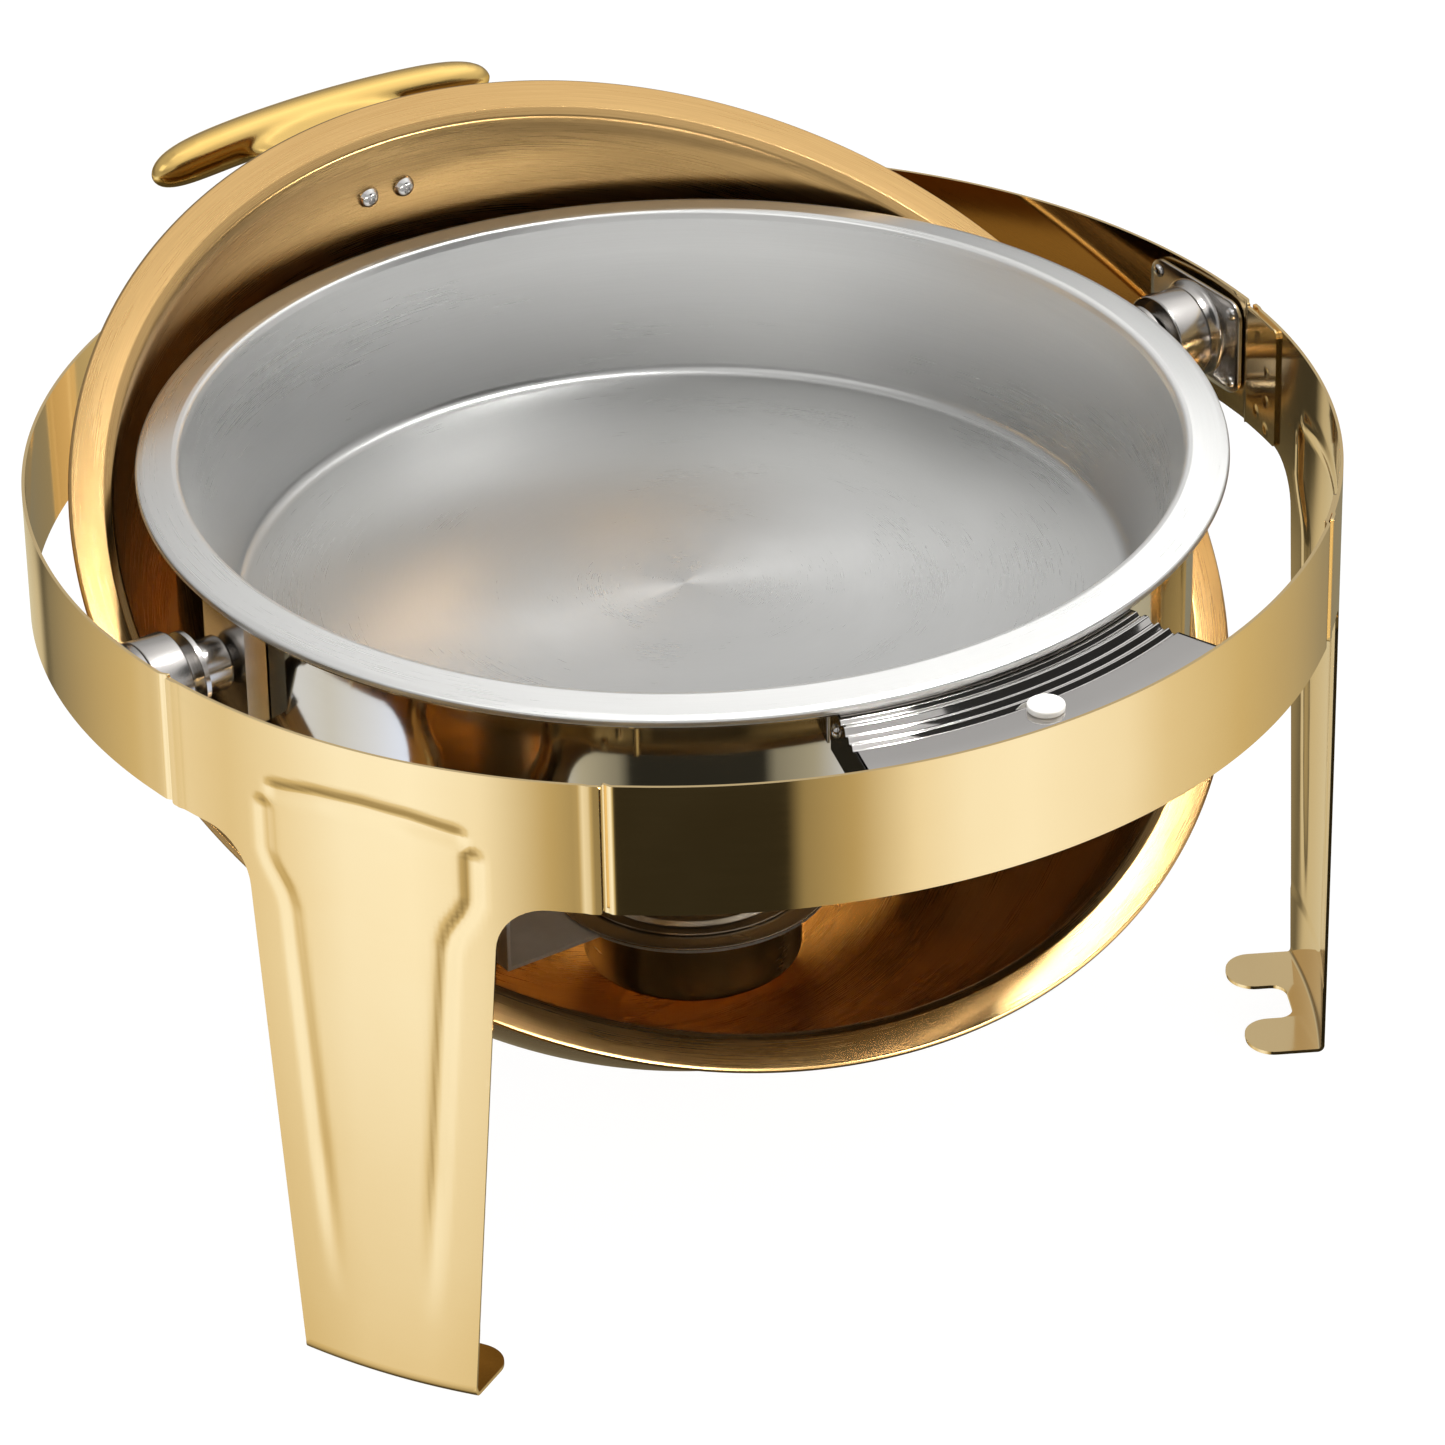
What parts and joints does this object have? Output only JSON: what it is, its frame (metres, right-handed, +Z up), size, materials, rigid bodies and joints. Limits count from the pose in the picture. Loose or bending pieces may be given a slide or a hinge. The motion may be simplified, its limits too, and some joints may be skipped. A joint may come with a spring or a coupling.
{
  "type": "roll-top chafing dish",
  "caption": "Round food warmer: a band on three legs carries a water pan, a food pan and a burner, with a domed lid that rolls open under the pans.",
  "frame": {"origin": "on the table, below the centre of the dish", "axes": "+Z up; the front, with the landing ledge for the lid, faces -Y; the lid's hinge axis runs along X"},
  "size_m": [0.48, 0.5013, 0.3153],
  "materials": {
    "polished_gold": "polished",
    "brushed_gold": "brushed",
    "cast_gold": "polished",
    "satin_steel": "satin",
    "mirror_steel": "mirror",
    "chrome_fittings": "polished",
    "steel_screws": "polished",
    "friction_disc": "matt",
    "white_bumper": "matt",
    "burner_steel": "polished",
    "knob_black": "matt"
  },
  "bodies": {
    "frame": {"band_front": "polished_gold", "band_rear_left": "polished_gold", "band_rear_right": "polished_gold", "burner_bracket": "burner_steel", "friction_discs_left": "friction_disc", "friction_discs_right": "friction_disc", "front_ledge": "mirror_steel", "hanger_left": "chrome_fittings", "hanger_right": "chrome_fittings", "hinge_nut_left": "chrome_fittings", "hinge_nut_right": "chrome_fittings", "hinge_pin_left": "chrome_fittings", "hinge_pin_right": "chrome_fittings", "hinge_plate_left": "chrome_fittings", "hinge_plate_right": "chrome_fittings", "hinge_sleeve_left": "chrome_fittings", "hinge_sleeve_right": "chrome_fittings", "ledge_screws": "steel_screws", "leg_front_left": "polished_gold", "leg_front_right": "polished_gold", "leg_rear": "polished_gold", "lid_bumper": "white_bumper", "plate_rivets_left": "steel_screws", "plate_rivets_right": "steel_screws", "water_pan": "mirror_steel"},
    "lid": {"ear_screws_left": "steel_screws", "ear_screws_right": "steel_screws", "handle_screws": "steel_screws", "lid_barrel_left": "chrome_fittings", "lid_barrel_right": "chrome_fittings", "lid_ear_left": "chrome_fittings", "lid_ear_right": "chrome_fittings", "lid_handle": "cast_gold", "lid_shell": "brushed_gold"},
    "food_pan_body": {"food_pan": "satin_steel"},
    "burner": {"burner_cup": "burner_steel", "cover_rivet": "steel_screws"},
    "burner_cover_body": {"burner_cover": "burner_steel", "cover_knob": "knob_black"}
  },
  "joints": [
    {"name": "lid_roll", "type": "hinge", "parent": "frame", "child": "lid", "pos_m": [0, 0, 0.237], "axis": [1, 0, 0], "range_deg": [0, 153.8]},
    {"name": "food_pan_lift", "type": "slide", "parent": "frame", "child": "food_pan_body", "axis": [0, 0, 1], "range_m": [0, 0.015]},
    {"name": "burner_lift", "type": "slide", "parent": "frame", "child": "burner", "axis": [0, 0, 1], "range_m": [0, 0.05]},
    {"name": "cover_swing", "type": "hinge", "parent": "burner", "child": "burner_cover_body", "pos_m": [0.0505, 0, 0.0785], "axis": [0, 0, 1], "range_deg": [0, 90]}
  ]
}
